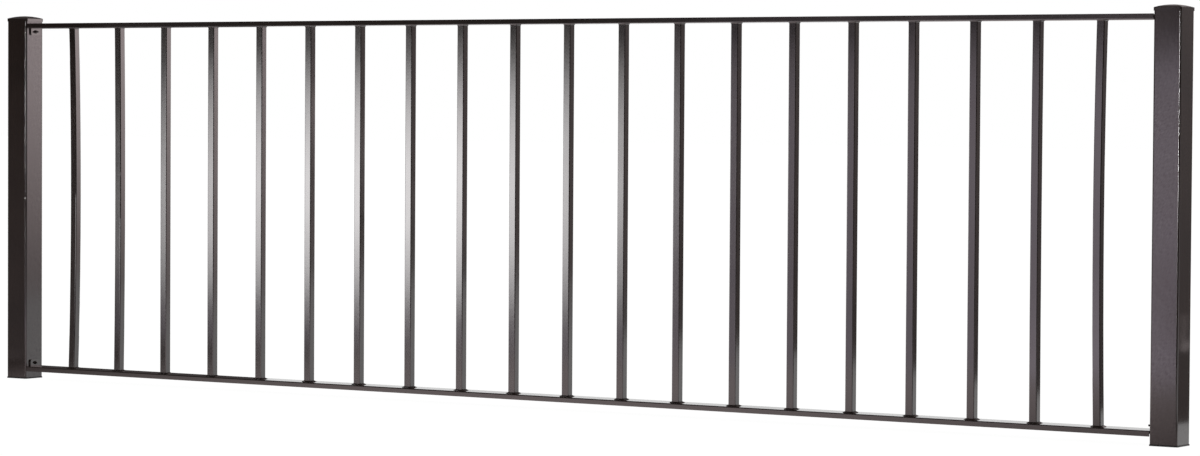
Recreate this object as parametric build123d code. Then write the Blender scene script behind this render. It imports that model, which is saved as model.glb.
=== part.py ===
from build123d import *
from math import sqrt
import os

# One bay of welded steel fence with its two posts. Millimetres, +Z up, +X along the bay.
# The origin is the middle of the left post's foot face, and the front looks along -Y.

# Posts: square steel tube
BAY_CLEAR = 2362.0        # clear width between the two posts
POST_WIDTH = 48.0
POST_WALL = 1.6
POST_CORNER = 3.2         # outside corner radius
POST_LENGTH = 689.1       # cut length of the tube
SLEEVE_FIT = 0.2          # gap all round between a post and what slides over or into it

# Foot shoes: a moulded plug, open above, with a thin flange below the post
SHOE_FLANGE = 2.5
SHOE_OVERHANG = 1.0       # how far the flange stands out past the post
SHOE_EDGE = 0.6           # bevel round the top of the flange
SHOE_PLUG = 18.0          # length of plug inside the post
SHOE_WALL = 2.0

# Post caps: pressed sheet with a low crown, arched both ways
CAP_SHEET = 1.0
CAP_GRIP = 4.0            # length of post inside the cap
CROWN_RISE = 5.1

# Rails: two folded channels, each with its web towards the bars and slotted at its ends for the brackets
RAIL_DEPTH = 46.0
RAIL_HEIGHT = 9.2
RAIL_GAUGE = 1.5
RAIL_BEND = 1.7           # outside bend radius
RAIL_END_GAP = 0.8        # gap between a rail's end and the post
FOOT_GAP = 14.6           # foot face to the lower edge of the bottom rail
TOP_DROP = 8.4            # top end of a post tube down to the upper edge of the top rail

# Balusters: square tube, through punched holes in both webs
BAR_WIDTH = 14.0
BAR_WALL = 1.0
BAR_CORNER = 1.4
BAR_PITCH = 113.8
BAR_END_MARGIN = 60.0     # least distance from a rail's end to the nearest bar's centre
BAR_TAIL = 3.0            # length of bar beyond each web
PUNCH_FIT = 0.2           # gap all round between a bar and its punched hole
BOWS_LEFT = (5.5, 2.4)    # inward set of the outer bars at mid height, outermost first
BOWS_RIGHT = (3.7, 0.9)

# Brackets: bent strip that carries each rail end
BRACKET_GAUGE = 3.0
BRACKET_BEND = 0.6        # inside bend radius
BRACKET_WIDTH = 26.0
BRACKET_LEG = 32.0        # length along the web of the rail
TAB_REACH = 13.0          # length of tab that shows beyond the rail
TAB_CORNER = 4.0
TAB_HOLE = 5.5
PILOT_HOLE = 4.2          # screw hole in the post's wall
TAB_FIT = 0.2             # gap between a tab and the slot that it stands in

# Places that follow from the sizes
POST_SPACING = BAY_CLEAR + POST_WIDTH
BAY_MIDDLE = POST_SPACING / 2
POST_TOP = SHOE_FLANGE + POST_LENGTH
PANEL_MIDDLE = (FOOT_GAP + POST_TOP - TOP_DROP) / 2
RAIL_START = POST_WIDTH / 2 + RAIL_END_GAP
RAIL_LENGTH = POST_SPACING - 2 * RAIL_START
WEB_UNDERSIDE = FOOT_GAP + RAIL_HEIGHT - RAIL_GAUGE
BAR_FOOT = WEB_UNDERSIDE - BAR_TAIL
BAR_LENGTH = 2 * (PANEL_MIDDLE - BAR_FOOT)
BAR_COUNT = int((RAIL_LENGTH - 2 * BAR_END_MARGIN) // BAR_PITCH) + 1
BAR_PLACES = [BAY_MIDDLE + BAR_PITCH * (i - (BAR_COUNT - 1) / 2) for i in range(BAR_COUNT)]
TAB_TIP = FOOT_GAP + RAIL_HEIGHT + TAB_REACH
SCREW_HEIGHT = TAB_TIP - TAB_REACH / 2

# The panel is the same at both ends, and its rails and brackets the same above as below
ACROSS = Plane(origin=(BAY_MIDDLE, 0, 0), z_dir=(1, 0, 0))
LEVEL = Plane(origin=(0, 0, PANEL_MIDDLE), z_dir=(0, 0, 1))


def rounded_square(width, radius):
    """A square outline with round corners, or sharp ones where no radius is left."""
    if radius > 0:
        return RectangleRounded(width, width, radius)
    return Rectangle(width, width)


def square_tube_section(width, wall, corner, bore_corner):
    """The section of a square tube, with its own corner radius outside and in the bore."""
    return rounded_square(width, corner) - rounded_square(width - 2 * wall, bore_corner)


def cross_hole(diameter, x, z, length):
    """A round drill along X, centred at x and z."""
    return Pos(x, 0, z) * Rot(0, 90, 0) * Cylinder(diameter / 2, length)


def left_post():
    """The post tube, drilled in its inner wall for the two bracket screws."""
    section = square_tube_section(POST_WIDTH, POST_WALL, POST_CORNER, POST_CORNER - POST_WALL)
    tube = Pos(0, 0, SHOE_FLANGE) * extrude(section, POST_LENGTH)
    inner_wall = (POST_WIDTH - POST_WALL) / 2
    for height in (SCREW_HEIGHT, 2 * PANEL_MIDDLE - SCREW_HEIGHT):
        tube -= cross_hole(PILOT_HOLE, inner_wall, height, 2 * POST_WALL)
    return tube


def left_shoe():
    """The foot shoe: a bevelled flange with a hollow plug that fits the post's bore."""
    width = POST_WIDTH + 2 * SHOE_OVERHANG
    plug_width = POST_WIDTH - 2 * (POST_WALL + SLEEVE_FIT)
    flange = extrude(rounded_square(width, POST_CORNER + SHOE_OVERHANG), SHOE_FLANGE)
    flange = chamfer(flange.edges().group_by(Axis.Z)[-1], SHOE_EDGE)
    plug = chamfer(Rectangle(plug_width, plug_width).vertices(), POST_CORNER - POST_WALL)
    plug -= Rectangle(plug_width - 2 * SHOE_WALL, plug_width - 2 * SHOE_WALL)
    return flange + Pos(0, 0, SHOE_FLANGE) * extrude(plug, SHOE_PLUG)


def vault(span, spring, rise):
    """A long block along Y with an arched top that rises from its springing height at both sides."""
    half = span / 2
    arch = ThreePointArc((half, spring), (0, spring + rise), (-half, spring))
    walls = Polyline((-half, spring), (-half, 0), (half, 0), (half, spring))
    return extrude(Plane.XZ * make_face(arch + walls), half, both=True)


def cushion(span, spring, rise):
    """A square block whose top is arched both ways."""
    along = vault(span, spring, rise)
    return along & Rot(0, 0, 90) * along


def left_cap():
    """The post cap: a skirt that grips the post, a ledge on its top end, and the hollow crown."""
    socket = POST_WIDTH + 2 * SLEEVE_FIT
    socket_corner = POST_CORNER + SLEEVE_FIT
    width = socket + 2 * CAP_SHEET
    bore = POST_WIDTH - 2 * POST_WALL
    skirt = CAP_GRIP + CAP_SHEET
    cap = extrude(rounded_square(width, socket_corner + CAP_SHEET), skirt + CROWN_RISE)
    cap &= cushion(width, skirt, CROWN_RISE)
    cap -= extrude(rounded_square(socket, socket_corner), CAP_GRIP)
    cap -= cushion(bore, CAP_GRIP, CROWN_RISE)
    return Pos(0, 0, POST_TOP - CAP_GRIP) * cap


def bottom_rail():
    """A folded channel, flanges down, with its web punched for the bars and slotted for the tabs."""
    low = (Align.CENTER, Align.MIN)
    outside = Rectangle(RAIL_DEPTH, RAIL_HEIGHT, align=low)
    inside = Rectangle(RAIL_DEPTH - 2 * RAIL_GAUGE, RAIL_HEIGHT - RAIL_GAUGE, align=low)
    outside = fillet(outside.vertices().group_by(Axis.Y)[-1], RAIL_BEND)
    if RAIL_BEND > RAIL_GAUGE:
        inside = fillet(inside.vertices().group_by(Axis.Y)[-1], RAIL_BEND - RAIL_GAUGE)
    channel = Pos(RAIL_START, 0, FOOT_GAP) * extrude(Plane.YZ * (outside - inside), RAIL_LENGTH)
    hole = BAR_WIDTH + 2 * PUNCH_FIT
    punch = Box(hole, hole, 4 * RAIL_GAUGE)
    tab_room = BRACKET_GAUGE + BRACKET_BEND + TAB_FIT
    slot = Box(2 * tab_room, BRACKET_WIDTH + 2 * TAB_FIT, 4 * RAIL_GAUGE)
    left_slot = Pos(POST_WIDTH / 2, 0, WEB_UNDERSIDE) * slot
    channel -= [left_slot, mirror(left_slot, about=ACROSS)]
    return channel - [Pos(x, 0, WEB_UNDERSIDE) * punch for x in BAR_PLACES]


def bar_bow(index):
    """How far a bar's middle stands off the straight line, towards +X."""
    from_right = BAR_COUNT - 1 - index
    if index < len(BOWS_LEFT):
        return BOWS_LEFT[index]
    if from_right < len(BOWS_RIGHT):
        return -BOWS_RIGHT[from_right]
    return 0.0


def bar_section():
    """The section of a baluster, square in the bore."""
    return square_tube_section(BAR_WIDTH, BAR_WALL, BAR_CORNER, 0)


def straight_bar(x):
    """A baluster as it was cut."""
    return Pos(x, 0, BAR_FOOT) * extrude(bar_section(), BAR_LENGTH)


def bowed_bar(x, bow):
    """A baluster bent to one long arc, with its ends cut level."""
    half = BAR_LENGTH / 2
    radius = (half * half + bow * bow) / (2 * abs(bow))
    reach = half + BAR_WIDTH
    side = 1 if bow > 0 else -1
    end_x = x + bow - side * (radius - sqrt(radius * radius - reach * reach))
    low_end = (end_x, 0, PANEL_MIDDLE - reach)
    top_end = (end_x, 0, PANEL_MIDDLE + reach)
    arc = ThreePointArc(low_end, (x + bow, 0, PANEL_MIDDLE), top_end)
    start = Plane(origin=arc @ 0, x_dir=(0, 1, 0), z_dir=arc % 0)
    tube = sweep(start * bar_section(), path=arc)
    room = 4 * (BAR_WIDTH + abs(bow))
    return tube & Pos(x, 0, PANEL_MIDDLE) * Box(room, room, BAR_LENGTH)


def baluster(index):
    """One baluster, straight or with its bow."""
    bow = bar_bow(index)
    if bow == 0:
        return straight_bar(BAR_PLACES[index])
    return bowed_bar(BAR_PLACES[index], bow)


def left_bottom_bracket():
    """A bent strip: a leg under the rail's web, and a drilled tab up the post through the web's slot."""
    face = POST_WIDTH / 2
    heel = WEB_UNDERSIDE - BRACKET_GAUGE
    corner = (Align.MIN, Align.CENTER, Align.MIN)
    tab = Box(BRACKET_GAUGE, BRACKET_WIDTH, TAB_TIP - heel, align=corner)
    leg = Box(BRACKET_LEG, BRACKET_WIDTH, BRACKET_GAUGE, align=corner)
    strip = Pos(face, 0, heel) * (tab + leg)
    across = strip.edges().filter_by(Axis.Y)
    strip = fillet(across.sort_by_distance((face + BRACKET_GAUGE, 0, WEB_UNDERSIDE))[0], BRACKET_BEND)
    across = strip.edges().filter_by(Axis.Y)
    strip = fillet(across.sort_by_distance((face, 0, heel))[0], BRACKET_BEND + BRACKET_GAUGE)
    strip = fillet(strip.edges().filter_by(Axis.X).group_by(Axis.Z)[-1], TAB_CORNER)
    return strip - cross_hole(TAB_HOLE, face, SCREW_HEIGHT, 4 * BRACKET_GAUGE)


def fence_nodes():
    """Every piece of the panel by name."""
    low_bracket = left_bottom_bracket()
    left_side = {
        "post": left_post(),
        "post_shoe": left_shoe(),
        "post_cap": left_cap(),
        "bottom_bracket": low_bracket,
        "top_bracket": mirror(low_bracket, about=LEVEL),
    }
    nodes = {}
    for name, piece in left_side.items():
        nodes["left_" + name] = piece
        nodes["right_" + name] = mirror(piece, about=ACROSS)
    nodes["bottom_rail"] = bottom_rail()
    nodes["top_rail"] = mirror(nodes["bottom_rail"], about=LEVEL)
    for index in range(BAR_COUNT):
        nodes[f"baluster_{index + 1:02d}"] = baluster(index)
    return nodes


os.makedirs("parts", exist_ok=True)
for node_name, piece in fence_nodes().items():
    piece.label = node_name
    export_step(piece, f"parts/{node_name}.step")
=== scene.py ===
"""Looks for a low steel fence panel: its finishes, weld beads, bracket screws and studio."""

import math
from collections import namedtuple

import bmesh
import bpy
from bpy.props import FloatProperty, FloatVectorProperty, IntProperty, PointerProperty
from mathutils import Matrix, Vector


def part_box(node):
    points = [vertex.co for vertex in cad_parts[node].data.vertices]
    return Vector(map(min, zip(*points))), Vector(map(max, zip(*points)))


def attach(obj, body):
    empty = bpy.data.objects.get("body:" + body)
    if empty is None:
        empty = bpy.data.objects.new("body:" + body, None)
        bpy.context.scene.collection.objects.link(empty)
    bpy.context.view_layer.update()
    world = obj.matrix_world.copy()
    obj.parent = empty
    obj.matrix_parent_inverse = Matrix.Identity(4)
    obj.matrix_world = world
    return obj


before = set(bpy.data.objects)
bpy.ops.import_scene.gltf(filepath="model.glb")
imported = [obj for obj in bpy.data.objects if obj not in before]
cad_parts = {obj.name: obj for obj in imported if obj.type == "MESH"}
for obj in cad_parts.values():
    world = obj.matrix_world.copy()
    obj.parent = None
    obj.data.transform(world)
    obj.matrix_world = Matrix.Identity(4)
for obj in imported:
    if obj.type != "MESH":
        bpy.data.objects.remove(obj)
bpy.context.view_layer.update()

bl_info = {
    "name": "Steel fence panel",
    "version": (1, 0, 0),
    "blender": (4, 5, 0),
    "location": "3D View > Sidebar > Fence",
    "description": "Dresses a low steel fence panel: coat, weld beads, bracket screws and studio",
    "category": "Object",
}

BODY = "root"
MM = 0.001

BARS = sorted(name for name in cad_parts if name.startswith("baluster_"))
POSTS = ("left_post", "right_post")
SHOES = ("left_post_shoe", "right_post_shoe")
BRACKETS = sorted(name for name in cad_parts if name.endswith("_bracket"))
# Two studs were left standing further out than the rest.
LONG_STUDS = {"left_top_bracket": 7.5 * MM, "right_bottom_bracket": 9.5 * MM}

# The face of a weld bead from its toe to its crest, in shares of its leg and its rise.
BEAD_FACE = ((1, 0.12), (0.62, 0.5), (0.22, 0.86))
NUT_SIDES = 6
COLLAR_SEGMENTS = 32
STUD_SEGMENTS = 20

# Each pair gives the values of a noise between which its pattern comes in.
THIN_TONE = (0.35, 0.7)
THIN_GLOSS = (0.3, 0.7)
RUBBED = (0.4, 0.65)
SCUFFED = (0.5, 0.75)

# Each pair gives the part of a direction, along Y or Z, between which the room changes.
FRONT_TO_BACK = (-0.05, 0.05)
ROOM_TO_CEILING = (0.01, 0.08)
FLOOR_ROUGHNESS = (0.88, 0.92)

SENSOR_WIDTH = 36
VIEW_END = 200


def linear(hex_colour):
    """Turns an sRGB hex colour into the linear values that a shader takes."""
    channels = [int(hex_colour[i : i + 2], 16) / 255 for i in (1, 3, 5)]
    return [c / 12.92 if c <= 0.04045 else ((c + 0.055) / 1.055) ** 2.4 for c in channels]


def colour(name, description, hex_colour):
    """A colour setting with its default given as sRGB hex."""
    return FloatVectorProperty(
        name=name, description=description, subtype="COLOR", size=3, min=0, max=1, default=linear(hex_colour)
    )


def length(name, description, metres):
    """A length setting in metres."""
    return FloatProperty(
        name=name, description=description, unit="LENGTH", min=0, precision=5, default=metres
    )


def share(name, description, value):
    """A setting between nothing and all."""
    return FloatProperty(name=name, description=description, subtype="FACTOR", min=0, max=1, default=value)


def strength(name, description, value):
    """A setting for the strength of a light."""
    return FloatProperty(name=name, description=description, min=0, default=value)


def count(name, description, number, most):
    """A setting for a number of like things."""
    return IntProperty(name=name, description=description, min=1, max=most, default=number)


def angle(name, description, degrees):
    """An angle setting with its default given in degrees."""
    return FloatProperty(name=name, description=description, subtype="ANGLE", default=math.radians(degrees))


def turn(name, description, degrees):
    """A setting for a turn about X, Y and Z, with its default given in degrees."""
    radians = [math.radians(value) for value in degrees]
    return FloatVectorProperty(name=name, description=description, subtype="EULER", default=radians)


class FenceFinish(bpy.types.PropertyGroup):
    """Colours and surface sizes of the coat and the plastic"""

    coat: colour("Coat", "Dark bronze of the powder coat", "#1b1411")
    coat_thin: colour("Thin coat", "Bronze where the film is a little thinner", "#231a16")
    sheen: colour("Sheen", "Tint of the coat's reflections", "#fffcfd")
    sheen_dull: colour("Dull sheen", "The same tint in the fine lines rubbed into the coat", "#d0cacf")
    gloss: share("Roughness", "Roughness of the coat where the film is thick", 0.0935)
    gloss_thin: share("Thin roughness", "Roughness of the coat where the film is thinner", 0.1375)
    peel: length("Orange peel", "Width of one ripple in the sprayed coat", 4.0 * MM)
    peel_depth: length("Peel depth", "Depth of one ripple", 0.012 * MM)
    film_drift: length("Film drift", "Width of the patches where the film runs thicker", 90 * MM)
    rub_width: length("Rubbed lines", "Width of the fine lines rubbed into the coat", 1.1 * MM)
    rub_length: length("Rubbed length", "Length of the fine lines", 9 * MM)
    plastic: colour("Plastic", "Black of the moulded foot shoes", "#0d0c0c")
    plastic_scuff: colour("Scuffed plastic", "Grey of the plastic where it has been rubbed", "#1b1a19")
    plastic_gloss: share("Plastic roughness", "Roughness of the moulded face", 0.42)
    scuff_gloss: share("Scuff roughness", "Roughness of the plastic where it has been rubbed", 0.6)
    scuff: length("Scuffs", "Width of one scuffed patch", 10.8 * MM)
    grain: length("Plastic grain", "Width of one grain of the moulded texture", 0.9 * MM)
    grain_depth: length("Grain depth", "Depth of one grain", 0.05 * MM)
    grain_strength: share("Grain strength", "How much of the grain's depth shows", 0.4)


class FenceWelds(bpy.types.PropertyGroup):
    """Sizes of the weld beads round the bars"""

    foot_leg: length("Foot leg", "Reach of the bead along the bottom rail", 4.0 * MM)
    foot_rise: length("Foot rise", "Height of the bead up the bar", 1.9 * MM)
    head_leg: length("Head leg", "Reach of the bead along the top rail", 1.1 * MM)
    head_rise: length("Head rise", "Depth of the bead down the bar", 1.5 * MM)
    root: length("Root", "Depth of the bead inside the bar's wall and the web", 0.3 * MM)
    corner: length("Bar corner", "Corner radius that the bead follows", 1.4 * MM)
    swell: share("Swell", "How much each ripple stands out", 0.14)
    ripples: count("Ripples", "Ripples along one side of a bar", 5, most=12)
    corner_steps: count("Corner steps", "Steps round one corner", 4, most=8)


class FenceScrews(bpy.types.PropertyGroup):
    """Sizes of the studs in the bracket tabs and of their hexagon nuts"""

    tab_gauge: length("Tab", "Thickness of the bracket tab under the nut", 3.0 * MM)
    from_tip: length("From tip", "Tab's tip to the middle of the stud", 6.5 * MM)
    flats: length("Across flats", "Hexagon across its flats", 5.5 * MM)
    head: length("Nut", "Height of the nut above its collar", 2.4 * MM)
    collar: length("Collar", "Width of the pressed collar", 7.0 * MM)
    collar_top: length("Collar top", "Width of the collar under the nut", 6.16 * MM)
    collar_height: length("Collar height", "Thickness of the collar", 0.8 * MM)
    shank: length("Stud", "Width of the stud", 3.2 * MM)
    shank_length: length("Stud behind", "Length of the stud behind the tab's face", 16 * MM)
    stand_out: length("Stud in front", "Length of the stud in front of the tab's face", 5.5 * MM)
    soften: length("Soften", "Rounding of the nut's edges", 0.35 * MM)
    soften_collar: length("Soften collar", "Rounding of the collar's rim", 0.175 * MM)
    soften_stud: length("Soften stud", "Rounding of the stud's ends", 0.7 * MM)
    spin: angle("Spin", "Turn from one nut to the next", 17)


class FenceStage(bpy.types.PropertyGroup):
    """Camera and studio"""

    camera_place: FloatVectorProperty(
        name="Camera",
        description="Place of the camera",
        subtype="TRANSLATION",
        default=(4.9313, -5.4801, 0.5315),
    )
    heading: angle("Heading", "Turn of the camera to the left", 33.3195)
    pitch: angle("Pitch", "Tilt of the camera below level", 1.8478)
    roll: angle("Roll", "Roll of the camera", 0.3608)
    lens: FloatProperty(name="Lens", description="Focal length on a 36 mm sensor", default=113.286, min=1)
    floor_size: length("Floor", "Width of the floor", 80.0)
    floor_mottle: length("Floor mottle", "Width of one patch of the floor", 0.5)
    white: colour("White", "White of the floor's light and the backdrop", "#ffffff")
    floor: colour("Floor colour", "Grey of the floor under its own light", "#3c3c3b")
    floor_glow: strength("Floor glow", "Light from under the floor", 0.98)
    backdrop: strength("Backdrop", "Brightness behind the panel", 1.0)
    room: strength("Room", "Brightness in front at eye level", 0.1)
    ceiling: strength("Ceiling", "Brightness in front and above", 0.08)
    shade: strength("Shade", "Brightness of the dark side behind", 0.3)
    shade_heading: angle("Shade heading", "Direction of the dark side, from the right towards the back", 66)
    shade_reach: angle("Shade reach", "Half the width of the dark side", 15.5)
    shade_core: angle("Shade core", "Half the width of its evenly dark middle", 13.5)
    sun: strength("Top light", "Strength of the soft light from above", 1.2)
    sun_spread: angle("Top spread", "Width of the soft light in the sky", 70)
    sun_turn: turn("Top turn", "Turn of the soft light", (20, -10, 0))
    glint: strength("Glint", "Strength of the small light on the post corners", 0.35)
    glint_spread: angle("Glint spread", "Width of the small light in the sky", 2)
    glint_turn: turn("Glint turn", "Turn of the small light", (90, 0, -9))


# A reflection card is spanned by two sides from one corner, and only reflections see it. Its level changes
# evenly across and up by a share of itself, and falls off by a share from its middle to its edges.
Card = namedtuple(
    "Card", "corner across up level tint change_across change_up fall_across fall_up", defaults=(0, 0, 0, 0)
)
NEUTRAL = "#ffffff"
WARM = "#fff1f1"
PLUM = "#fdf2ff"
CARDS = {
    # In front: the key for the bars, the fills behind it, and the flags that keep them off the posts.
    "key_card": Card(
        (-1.773, -2.4, -0.054), (1.652, 0, 0), (0.118, 0, 0.738), 8.5, NEUTRAL, fall_across=0.57, fall_up=1
    ),
    "front_fill": Card(
        (-1.6, -4.5, 0), (2.15, 0, 0), (0, 0, 0.72), 0.9, PLUM, change_across=0.8, fall_up=0.2
    ),
    "post_fill": Card((0.24, -4.49, 0), (0.31, 0, 0), (0, 0, 0.72), 1.88, PLUM, fall_up=0.2),
    "front_flag": Card((-3.0, -0.55, 0), (2.762, 0, 0), (0, 0, 0.72), 0.25, WARM, change_up=-0.85),
    "far_flag": Card((0.55, -4.6, 0), (14.0, 0, 0), (0, 0, 2.5), 0.04, WARM),
    "side_flag": Card((2.12, -1.25, 0), (6.0, 0, 0), (0, 0, 1.5), 0.02, WARM),
    # On the floor in front, seen in the feet of the posts and bars and in the bottom rail.
    "floor_flag": Card((1.95, -1.2, 0.0005), (10.0, 0, 0), (-1.6, -3.4, 0), 0.08, WARM),
    "floor_fill": Card((-2.5, -1.2, 0.0005), (4.45, 0, 0), (-1.6, -3.4, 0), 0.4, PLUM, change_across=2.2),
    "floor_glow": Card((1.50, -1.2, 0.0007), (0.45, 0, 0), (-1.6, -3.4, 0), 1.78, PLUM),
    "floor_shade": Card(
        (-0.35, -0.03, 0.0005), (3.25, 0, 0), (0, -1.12, 0), 1.55, WARM, change_across=-0.35, fall_across=1
    ),
    "floor_dark": Card((-3.0, -0.03, 0.0004), (2.66, 0, 0), (0, -1.12, 0), 0.4, WARM),
    # Above and to the left.
    "ceiling_flag": Card((-6.0, -1.0, 1.3), (14.0, 0, 0), (0, 8.0, 0), 0.1, WARM),
    "left_flag": Card((-6.0, 2.0, 0), (5.0, 0, 0), (0, 0, 1.3), 0.06, WARM),
    # Behind and to the right, seen in the right sides of the posts and bars.
    "back_glow": Card((1.4, 2.5, 0), (1.19, 0, 0), (0, 0, 1.2), 1.15, WARM, change_up=2.2, fall_up=0.4),
    "back_shade": Card((3.72, 4.0, 0), (8.25, 0, 0), (0, 0, 1.6), 0.1, WARM),
    "back_slope": Card((1.40, 1.0, 0.62), (0.27, 0, -0.36), (0, 0, 1.2), 0.35, WARM),
    "back_ledge": Card((1.67, 1.0, 0.26), (0.40, 0, -0.15), (0, 0, 1.2), 0.35, WARM),
    "back_flag": Card((2.58, 0.1, 0.008), (0, 1.82, 0), (0, 0, 2.0), 0.14, WARM, change_up=3.0),
    "glint_tall": Card((2.575, 0.298, 0.13), (0, 0.01, 0), (0, 0.006, 0.06), 0.9, WARM),
    "glint_wide": Card((2.575, 0.305, 0.125), (0, 0.035, 0.012), (0, 0, 0.014), 0.7, WARM),
}


def add_node(tree, kind, inputs=None, **settings):
    """Adds a node with its settings, and sets or links its inputs."""
    node = tree.nodes.new(kind)
    for name, value in settings.items():
        setattr(node, name, value)
    for socket, value in (inputs or {}).items():
        if isinstance(value, bpy.types.NodeSocket):
            tree.links.new(value, node.inputs[socket])
        else:
            node.inputs[socket].default_value = value
    return node


def new_material(name):
    """An empty node material."""
    material = bpy.data.materials.new(name)
    material.use_nodes = True
    material.node_tree.nodes.clear()
    return material, material.node_tree


def rgba(values):
    """A colour setting with full alpha."""
    return (*values, 1.0)


def rubbed_sheen(tree, place, finish):
    """The sheen of a rubbed coat: short dull lines that lean to the right on the front and on the right side.

    Real rubbed lines are finer than a hair. They are drawn wider to show at this distance.
    """
    across = 1 / finish.rub_width
    along = 1 / finish.rub_length
    over = add_node(
        tree, "ShaderNodeVectorMath", {0: place, 1: (across, across, -across)}, operation="DOT_PRODUCT"
    ).outputs["Value"]
    up = add_node(
        tree, "ShaderNodeVectorMath", {0: place, 1: (along, along, along)}, operation="DOT_PRODUCT"
    ).outputs["Value"]
    slant = add_node(tree, "ShaderNodeCombineXYZ", {"X": over, "Y": up}).outputs["Vector"]
    lines = add_node(
        tree, "ShaderNodeTexNoise", {"Vector": slant, "Scale": 1.0, "Detail": 2.0}, noise_dimensions="2D"
    ).outputs["Fac"]
    marks = add_node(
        tree, "ShaderNodeMapRange", {"Value": lines, "From Min": RUBBED[0], "From Max": RUBBED[1]}
    ).outputs["Result"]
    sheen = add_node(
        tree,
        "ShaderNodeMix",
        {"Factor": marks, "A": rgba(finish.sheen), "B": rgba(finish.sheen_dull)},
        data_type="RGBA",
    )
    return sheen.outputs[2]


def powder_coat(name, finish, rubbed=False):
    """Polyester powder coat, sprayed and baked over mild steel.

    It gives the eye a deep brown-black with sharp, slightly rippled reflections. The film varies a little
    in tone and gloss, and the posts are rubbed a little dull in fine slanting lines.
    """
    material, tree = new_material(name)
    place = add_node(tree, "ShaderNodeTexCoord").outputs["Object"]
    drift = add_node(
        tree, "ShaderNodeTexNoise", {"Vector": place, "Scale": 1 / finish.film_drift, "Detail": 3.0}
    ).outputs["Fac"]
    # A real peel ripple is about 2 mm wide. It is drawn twice as wide to show at this distance.
    peel = add_node(
        tree, "ShaderNodeTexNoise", {"Vector": place, "Scale": 1 / finish.peel, "Detail": 1.0}
    ).outputs["Fac"]
    tone = add_node(
        tree, "ShaderNodeMapRange", {"Value": drift, "From Min": THIN_TONE[0], "From Max": THIN_TONE[1]}
    ).outputs["Result"]
    shade = add_node(
        tree,
        "ShaderNodeMix",
        {"Factor": tone, "A": rgba(finish.coat), "B": rgba(finish.coat_thin)},
        data_type="RGBA",
    )
    gloss = add_node(
        tree,
        "ShaderNodeMapRange",
        {
            "Value": drift,
            "From Min": THIN_GLOSS[0],
            "From Max": THIN_GLOSS[1],
            "To Min": finish.gloss,
            "To Max": finish.gloss_thin,
        },
    ).outputs["Result"]
    ripple = add_node(
        tree, "ShaderNodeBump", {"Height": peel, "Strength": 1.0, "Distance": finish.peel_depth}
    ).outputs["Normal"]
    surface = add_node(
        tree,
        "ShaderNodeBsdfPrincipled",
        {
            "Base Color": shade.outputs[2],
            "Roughness": gloss,
            "Specular IOR Level": 1.0,
            "Specular Tint": rubbed_sheen(tree, place, finish) if rubbed else rgba(finish.sheen),
            "Normal": ripple,
        },
    )
    add_node(tree, "ShaderNodeOutputMaterial", {"Surface": surface.outputs["BSDF"]})
    return material


def moulded_plastic(name, finish):
    """Black polyethylene, injection moulded with a fine grained face: soft sheen, scuffed a little greyer."""
    material, tree = new_material(name)
    place = add_node(tree, "ShaderNodeTexCoord").outputs["Object"]
    # Real grain is about 0.3 mm wide. It is drawn three times as wide to show.
    grain = add_node(
        tree, "ShaderNodeTexVoronoi", {"Vector": place, "Scale": 1 / finish.grain}
    ).outputs["Distance"]
    scuff = add_node(
        tree, "ShaderNodeTexNoise", {"Vector": place, "Scale": 1 / finish.scuff, "Detail": 4.0}
    ).outputs["Fac"]
    worn = add_node(
        tree, "ShaderNodeMapRange", {"Value": scuff, "From Min": SCUFFED[0], "From Max": SCUFFED[1]}
    ).outputs["Result"]
    shade = add_node(
        tree,
        "ShaderNodeMix",
        {"Factor": worn, "A": rgba(finish.plastic), "B": rgba(finish.plastic_scuff)},
        data_type="RGBA",
    )
    gloss = add_node(
        tree,
        "ShaderNodeMapRange",
        {"Value": worn, "To Min": finish.plastic_gloss, "To Max": finish.scuff_gloss},
    ).outputs["Result"]
    texture = add_node(
        tree,
        "ShaderNodeBump",
        {"Height": grain, "Strength": finish.grain_strength, "Distance": finish.grain_depth},
    ).outputs["Normal"]
    surface = add_node(
        tree,
        "ShaderNodeBsdfPrincipled",
        {"Base Color": shade.outputs[2], "Roughness": gloss, "Normal": texture},
    )
    add_node(tree, "ShaderNodeOutputMaterial", {"Surface": surface.outputs["BSDF"]})
    return material


def coat(piece, material):
    """Gives an object one material."""
    piece.data.materials.clear()
    piece.data.materials.append(material)


def add_object(name, bm, material):
    """Makes an object of a finished bmesh, in place, with its material."""
    bmesh.ops.recalc_face_normals(bm, faces=bm.faces)
    mesh = bpy.data.meshes.new(name)
    bm.to_mesh(mesh)
    bm.free()
    piece = bpy.data.objects.new(name, mesh)
    bpy.context.scene.collection.objects.link(piece)
    coat(piece, material)
    return piece


def add_piece(name, bm, material):
    """Makes a coated piece of the fence that belongs to its one body."""
    piece = add_object(name, bm, material)
    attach(piece, BODY)
    return piece


def bar_end(name, top):
    """The middle of a bar's lowest or highest edge, in metres."""
    points = [v.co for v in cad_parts[name].data.vertices]
    level = max(p.z for p in points) if top else min(p.z for p in points)
    ring = [p for p in points if abs(p.z - level) < MM]
    lows = [min(p[axis] for p in ring) for axis in range(3)]
    highs = [max(p[axis] for p in ring) for axis in range(3)]
    return (Vector(lows) + Vector(highs)) / 2


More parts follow.
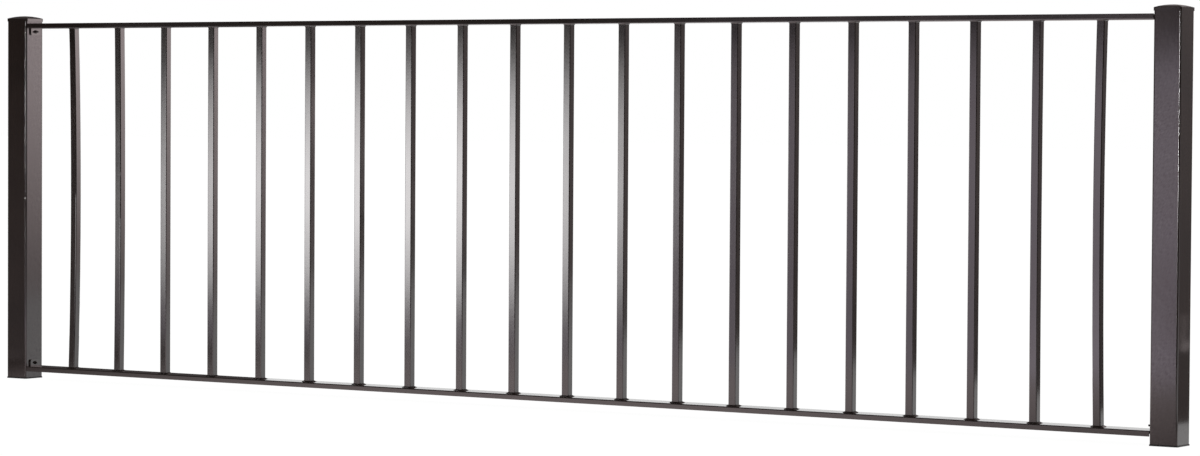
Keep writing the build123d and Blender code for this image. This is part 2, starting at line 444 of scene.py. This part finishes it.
def bead_places(welds, half):
    """Where the bead's section stands on its way round a square bar, each with the swell of its ripple."""
    straight = half - welds.corner
    steps = 2 * welds.ripples
    places = []
    for side in range(4):
        facing = Matrix.Rotation(side * math.pi / 2, 4, "Z")
        for step in range(steps):
            along = straight * (2 * step / steps - 1)
            swell = 1 + welds.swell * (step % 2)
            places.append((facing @ Matrix.Translation((along, -half, 0)), swell))
        pivot = Vector((straight, -straight, 0))
        for step in range(welds.corner_steps):
            bend = step / welds.corner_steps * math.pi / 2
            swell = 1 + welds.swell * (step % 2)
            corner = Matrix.Translation(pivot) @ Matrix.Rotation(bend, 4, "Z")
            places.append((facing @ corner @ Matrix.Translation((0, -welds.corner, 0)), swell))
    return places


def bead_ring(welds, half, leg, rise):
    """A fillet weld round one bar: its section is extruded from place to place and closed on itself."""
    bm = bmesh.new()
    root = welds.root
    section = [
        (0, root, -root),
        (0, -leg, -root),
        *((0, -out * leg, up * rise) for out, up in BEAD_FACE),
        (0, root, rise),
    ]
    places = [place @ Matrix.Scale(swell, 4) for place, swell in bead_places(welds, half)]
    verts = [bm.verts.new(places[0] @ Vector(point)) for point in section]
    first = [bm.edges.new((verts[i - 1], verts[i])) for i in range(len(verts))]
    loop = first
    for before, after in zip(places, places[1:]):
        made = bmesh.ops.extrude_edge_only(bm, edges=loop)["geom"]
        moved = [item for item in made if isinstance(item, bmesh.types.BMVert)]
        bmesh.ops.transform(bm, matrix=after @ before.inverted(), verts=moved)
        loop = [item for item in made if isinstance(item, bmesh.types.BMEdge) and item.is_boundary]
        loop = [edge for edge in loop if all(vert in moved for vert in edge.verts)]
    bmesh.ops.bridge_loops(bm, edges=first + loop)
    return bm


def bead_rows(name, welds, leg, rise, material, top):
    """A bead on every bar, on the web of one rail."""
    bar_low, bar_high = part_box(BARS[len(BARS) // 2])
    half = (bar_high.y - bar_low.y) / 2
    ring = bpy.data.meshes.new(name + "_ring")
    source = bead_ring(welds, half, leg, rise)
    source.to_mesh(ring)
    source.free()
    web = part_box("top_rail")[0].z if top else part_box("bottom_rail")[1].z
    upright = Matrix.Scale(-1 if top else 1, 4, (0, 0, 1))
    bm = bmesh.new()
    for index, bar in enumerate(BARS):
        known = set(bm.verts)
        bm.from_mesh(ring)
        end = bar_end(bar, top)
        facing = Matrix.Rotation(index * math.pi / 2, 4, "Z")
        place = Matrix.Translation((end.x, end.y, web)) @ facing @ upright
        bmesh.ops.transform(bm, matrix=place, verts=[vert for vert in bm.verts if vert not in known])
    bpy.data.meshes.remove(ring)
    piece = add_piece(name, bm, material)
    piece.data.shade_smooth()
    return piece


def screw(screws, stand_out):
    """A stud along +Z through a hexagon nut with its collar, which stands on the origin."""
    bm = bmesh.new()
    whole = screws.shank_length + stand_out
    bmesh.ops.create_cone(
        bm,
        cap_ends=True,
        segments=NUT_SIDES,
        radius1=screws.flats / math.sqrt(3),
        radius2=screws.flats / math.sqrt(3),
        depth=screws.head,
        matrix=Matrix.Translation((0, 0, screws.collar_height + screws.head / 2)),
    )
    bmesh.ops.bevel(
        bm, geom=bm.edges[:], offset=screws.soften, affect="EDGES", segments=2, profile=0.5, material=-1
    )
    known = set(bm.edges)
    bmesh.ops.create_cone(
        bm,
        cap_ends=True,
        segments=COLLAR_SEGMENTS,
        radius1=screws.collar / 2,
        radius2=screws.collar_top / 2,
        depth=screws.collar_height,
        matrix=Matrix.Translation((0, 0, screws.collar_height / 2)),
    )
    rim = [edge for edge in bm.edges if edge not in known and edge.calc_length() < screws.shank / 2]
    bmesh.ops.bevel(
        bm, geom=rim, offset=screws.soften_collar, affect="EDGES", segments=2, profile=0.5, material=-1
    )
    known = set(bm.edges)
    bmesh.ops.create_cone(
        bm,
        cap_ends=True,
        segments=STUD_SEGMENTS,
        radius1=screws.shank / 2,
        radius2=screws.shank / 2,
        depth=whole,
        matrix=Matrix.Translation((0, 0, whole / 2 - screws.shank_length)),
    )
    ends = [edge for edge in bm.edges if edge not in known and edge.calc_length() < screws.shank / 2]
    bmesh.ops.bevel(
        bm, geom=ends, offset=screws.soften_stud, affect="EDGES", segments=2, profile=0.5, material=-1
    )
    return bm


class FENCE_OT_finishes(bpy.types.Operator):
    """Coat the steel nodes and give the foot shoes their plastic"""

    bl_idname = "fence.finishes"
    bl_label = "Finishes"

    def execute(self, context):
        finish = context.scene.fence_finish
        tube = powder_coat("powder_coat_on_rubbed_tube", finish, rubbed=True)
        sheet = powder_coat("powder_coat_on_folded_steel", finish)
        plastic = moulded_plastic("moulded_black_polyethylene", finish)
        for name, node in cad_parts.items():
            coat(node, plastic if name in SHOES else tube if name in POSTS else sheet)
        return {"FINISHED"}


class FENCE_OT_weld_beads(bpy.types.Operator):
    """Lay a weld bead round each bar on both rails"""

    bl_idname = "fence.weld_beads"
    bl_label = "Weld beads"

    def execute(self, context):
        welds = context.scene.fence_welds
        bead = powder_coat("powder_coat_on_weld_bead", context.scene.fence_finish)
        bead_rows("foot_weld_beads", welds, welds.foot_leg, welds.foot_rise, bead, top=False)
        bead_rows("head_weld_beads", welds, welds.head_leg, welds.head_rise, bead, top=True)
        return {"FINISHED"}


class FENCE_OT_bracket_screws(bpy.types.Operator):
    """Put a stud and its nut through each bracket's tab"""

    bl_idname = "fence.bracket_screws"
    bl_label = "Bracket screws"

    def execute(self, context):
        screws = context.scene.fence_screws
        one = bpy.data.meshes.new("bracket_screw")
        bm = bmesh.new()
        for index, name in enumerate(BRACKETS):
            low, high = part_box(name)
            left = name.startswith("left")
            x = low.x + screws.tab_gauge if left else high.x - screws.tab_gauge
            z = high.z - screws.from_tip if "bottom" in name else low.z + screws.from_tip
            facing = Matrix.Rotation(math.pi / 2 if left else -math.pi / 2, 4, "Y")
            spun = Matrix.Rotation(screws.spin * index, 4, "Z")
            source = screw(screws, LONG_STUDS.get(name, screws.stand_out))
            place = Matrix.Translation((x, (low.y + high.y) / 2, z)) @ facing @ spun
            bmesh.ops.transform(source, matrix=place, verts=source.verts)
            source.to_mesh(one)
            source.free()
            bm.from_mesh(one)
        bpy.data.meshes.remove(one)
        material = powder_coat("powder_coat_on_screw", context.scene.fence_finish)
        add_piece("bracket_screws", bm, material)
        return {"FINISHED"}


def card_level(tree, card):
    """The level of a card: one number if it is even, or else its changes across and up."""
    if not any((card.change_across, card.change_up, card.fall_across, card.fall_up)):
        return card.level
    place = add_node(tree, "ShaderNodeTexCoord").outputs["UV"]
    split = add_node(tree, "ShaderNodeSeparateXYZ", {"Vector": place})
    level = card.level
    ways = (("X", card.change_across, card.fall_across), ("Y", card.change_up, card.fall_up))
    for axis, change, fall in ways:
        along = split.outputs[axis]
        ramp = add_node(
            tree, "ShaderNodeMath", {0: along, 1: change, 2: 1.0}, operation="MULTIPLY_ADD"
        ).outputs["Value"]
        off = add_node(
            tree, "ShaderNodeMapRange", {"Value": along, "To Min": -1.0, "To Max": 1.0}
        ).outputs["Result"]
        squared = add_node(tree, "ShaderNodeMath", {0: off, 1: off}, operation="MULTIPLY").outputs["Value"]
        dome = add_node(
            tree, "ShaderNodeMath", {0: squared, 1: -fall, 2: 1.0}, operation="MULTIPLY_ADD"
        ).outputs["Value"]
        both = add_node(tree, "ShaderNodeMath", {0: ramp, 1: dome}, operation="MULTIPLY").outputs["Value"]
        level = add_node(tree, "ShaderNodeMath", {0: both, 1: level}, operation="MULTIPLY").outputs["Value"]
    return level


def card_material(name, card):
    """Light of a reflection card."""
    material, tree = new_material(name)
    level = card_level(tree, card)
    light = add_node(tree, "ShaderNodeEmission", {"Color": rgba(linear(card.tint)), "Strength": level})
    add_node(tree, "ShaderNodeOutputMaterial", {"Surface": light.outputs["Emission"]})
    return material


def add_card(name, card):
    """One reflection card that only glossy rays see."""
    bm = bmesh.new()
    bm.loops.layers.uv.new("UVMap")
    bmesh.ops.create_grid(bm, x_segments=1, y_segments=1, size=0.5, calc_uvs=True)
    across = Vector(card.across)
    up = Vector(card.up)
    place = Matrix((across, up, across.cross(up).normalized())).transposed().to_4x4()
    place.translation = Vector(card.corner) + (across + up) / 2
    bmesh.ops.transform(bm, matrix=place, verts=bm.verts)
    piece = add_object(name, bm, card_material(name, card))
    piece.visible_camera = False
    piece.visible_diffuse = False
    piece.visible_shadow = False
    piece.visible_transmission = False
    return piece


def light_only(source, names):
    """Keeps the light of a card or a lamp off all other nodes."""
    spared = bpy.data.collections.new(source.name + "_spared")
    for name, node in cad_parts.items():
        if name not in names:
            spared.objects.link(node)
    for member in spared.collection_objects:
        member.light_linking.link_state = "EXCLUDE"
    source.light_linking.receiver_collection = spared


def add_floor(stage):
    """A matt floor, lit from inside so that shadows stay faint, and clear when seen from below."""
    material, tree = new_material("matt_white_floor")
    place = add_node(tree, "ShaderNodeTexCoord").outputs["Object"]
    mottle = add_node(
        tree, "ShaderNodeTexNoise", {"Vector": place, "Scale": 1 / stage.floor_mottle}
    ).outputs["Fac"]
    tone = add_node(
        tree,
        "ShaderNodeMapRange",
        {"Value": mottle, "To Min": FLOOR_ROUGHNESS[0], "To Max": FLOOR_ROUGHNESS[1]},
    ).outputs["Result"]
    surface = add_node(
        tree,
        "ShaderNodeBsdfPrincipled",
        {
            "Base Color": rgba(stage.floor),
            "Roughness": tone,
            "Specular IOR Level": 0.0,
            "Emission Color": rgba(stage.white),
            "Emission Strength": stage.floor_glow,
        },
    )
    below = add_node(tree, "ShaderNodeNewGeometry").outputs["Backfacing"]
    clear = add_node(tree, "ShaderNodeBsdfTransparent").outputs["BSDF"]
    sheet = add_node(tree, "ShaderNodeMixShader", {0: below, 1: surface.outputs["BSDF"], 2: clear})
    add_node(tree, "ShaderNodeOutputMaterial", {"Surface": sheet.outputs["Shader"]})
    bm = bmesh.new()
    bmesh.ops.create_grid(bm, x_segments=1, y_segments=1, size=stage.floor_size / 2)
    add_object("floor", bm, material)


def add_surroundings(stage):
    """The room that lights the panel: bright behind, dim in front, dark to the right behind.

    The camera sees all of it white.
    """
    world = bpy.data.worlds.new("studio")
    bpy.context.scene.world = world
    world.use_nodes = True
    tree = world.node_tree
    tree.nodes.clear()
    towards = add_node(tree, "ShaderNodeTexCoord").outputs["Generated"]
    split = add_node(tree, "ShaderNodeSeparateXYZ", {"Vector": towards})
    behind = add_node(
        tree,
        "ShaderNodeMapRange",
        {"Value": split.outputs["Y"], "From Min": FRONT_TO_BACK[0], "From Max": FRONT_TO_BACK[1]},
    ).outputs["Result"]
    front = add_node(
        tree,
        "ShaderNodeMapRange",
        {
            "Value": split.outputs["Z"],
            "From Min": ROOM_TO_CEILING[0],
            "From Max": ROOM_TO_CEILING[1],
            "To Min": stage.room,
            "To Max": stage.ceiling,
        },
    ).outputs["Result"]
    near_dark = add_node(
        tree,
        "ShaderNodeVectorMath",
        {0: towards, 1: (math.cos(stage.shade_heading), math.sin(stage.shade_heading), 0)},
        operation="DOT_PRODUCT",
    ).outputs["Value"]
    back = add_node(
        tree,
        "ShaderNodeMapRange",
        {
            "Value": near_dark,
            "From Min": math.cos(stage.shade_reach),
            "From Max": math.cos(stage.shade_core),
            "To Min": stage.backdrop,
            "To Max": stage.shade,
        },
    ).outputs["Result"]
    level = add_node(tree, "ShaderNodeMix", {"Factor": behind, "A": front, "B": back}, data_type="FLOAT")
    seen = add_node(tree, "ShaderNodeLightPath").outputs["Is Camera Ray"]
    shown = add_node(
        tree, "ShaderNodeMix", {"Factor": seen, "A": level.outputs[0], "B": stage.backdrop}, data_type="FLOAT"
    )
    light = add_node(tree, "ShaderNodeBackground", {"Color": rgba(stage.white), "Strength": shown.outputs[0]})
    add_node(tree, "ShaderNodeOutputWorld", {"Surface": light.outputs["Background"]})


def add_sun(name, level, spread, facing, glossy):
    """A distant light, soft if its spread is wide."""
    light = bpy.data.lights.new(name, "SUN")
    light.energy = level
    light.angle = spread
    lamp = bpy.data.objects.new(name, light)
    lamp.rotation_euler = facing
    lamp.visible_glossy = glossy
    bpy.context.scene.collection.objects.link(lamp)
    return lamp


def add_camera(stage):
    """The camera, to the right in front and a little below the top rail's height."""
    data = bpy.data.cameras.new("camera")
    data.sensor_width = SENSOR_WIDTH
    data.lens = stage.lens
    data.clip_end = VIEW_END
    camera = bpy.data.objects.new("camera", data)
    heading = Matrix.Rotation(stage.heading, 4, "Z")
    tilt = Matrix.Rotation(math.pi / 2 - stage.pitch, 4, "X")
    roll = Matrix.Rotation(stage.roll, 4, "Z")
    camera.matrix_world = Matrix.Translation(stage.camera_place) @ heading @ tilt @ roll
    bpy.context.scene.collection.objects.link(camera)
    bpy.context.scene.camera = camera


class FENCE_OT_stage(bpy.types.Operator):
    """Set up the floor, the room, the lights, the reflection cards and the camera"""

    bl_idname = "fence.stage"
    bl_label = "Stage"

    def execute(self, context):
        stage = context.scene.fence_stage
        context.scene.view_settings.view_transform = "Standard"
        add_floor(stage)
        add_surroundings(stage)
        add_sun("top_light", stage.sun, stage.sun_spread, stage.sun_turn, glossy=False)
        glint = add_sun("glint", stage.glint, stage.glint_spread, stage.glint_turn, glossy=True)
        light_only(glint, POSTS)
        cards = {name: add_card(name, card) for name, card in CARDS.items()}
        light_only(cards["key_card"], BARS)
        add_camera(stage)
        return {"FINISHED"}


class FENCE_PT_panel(bpy.types.Panel):
    """The fence panel's settings and steps"""

    bl_idname = "FENCE_PT_panel"
    bl_label = "Steel fence panel"
    bl_space_type = "VIEW_3D"
    bl_region_type = "UI"
    bl_category = "Fence"

    def draw(self, context):
        for group, operator in STEPS:
            box = self.layout.box()
            settings = getattr(context.scene, group)
            for name in settings.__annotations__:
                box.prop(settings, name)
            box.operator(operator)


GROUPS = {
    "fence_finish": FenceFinish,
    "fence_welds": FenceWelds,
    "fence_screws": FenceScrews,
    "fence_stage": FenceStage,
}
OPERATORS = (FENCE_OT_finishes, FENCE_OT_weld_beads, FENCE_OT_bracket_screws, FENCE_OT_stage)
STEPS = tuple(zip(GROUPS, (operator.bl_idname for operator in OPERATORS)))
CLASSES = (*GROUPS.values(), *OPERATORS, FENCE_PT_panel)


def register():
    """Registers the classes and puts their settings on the scene."""
    for cls in CLASSES:
        bpy.utils.register_class(cls)
    for name, group in GROUPS.items():
        setattr(bpy.types.Scene, name, PointerProperty(type=group))


def unregister():
    """Takes the settings and the classes away."""
    for name in GROUPS:
        delattr(bpy.types.Scene, name)
    for cls in reversed(CLASSES):
        bpy.utils.unregister_class(cls)


def main():
    """Dresses the panel step by step and keeps its sizes."""
    register()
    bpy.ops.fence.finishes()
    bpy.ops.fence.weld_beads()
    bpy.ops.fence.bracket_screws()
    bpy.ops.fence.stage()


if __name__ == "__main__":
    main()
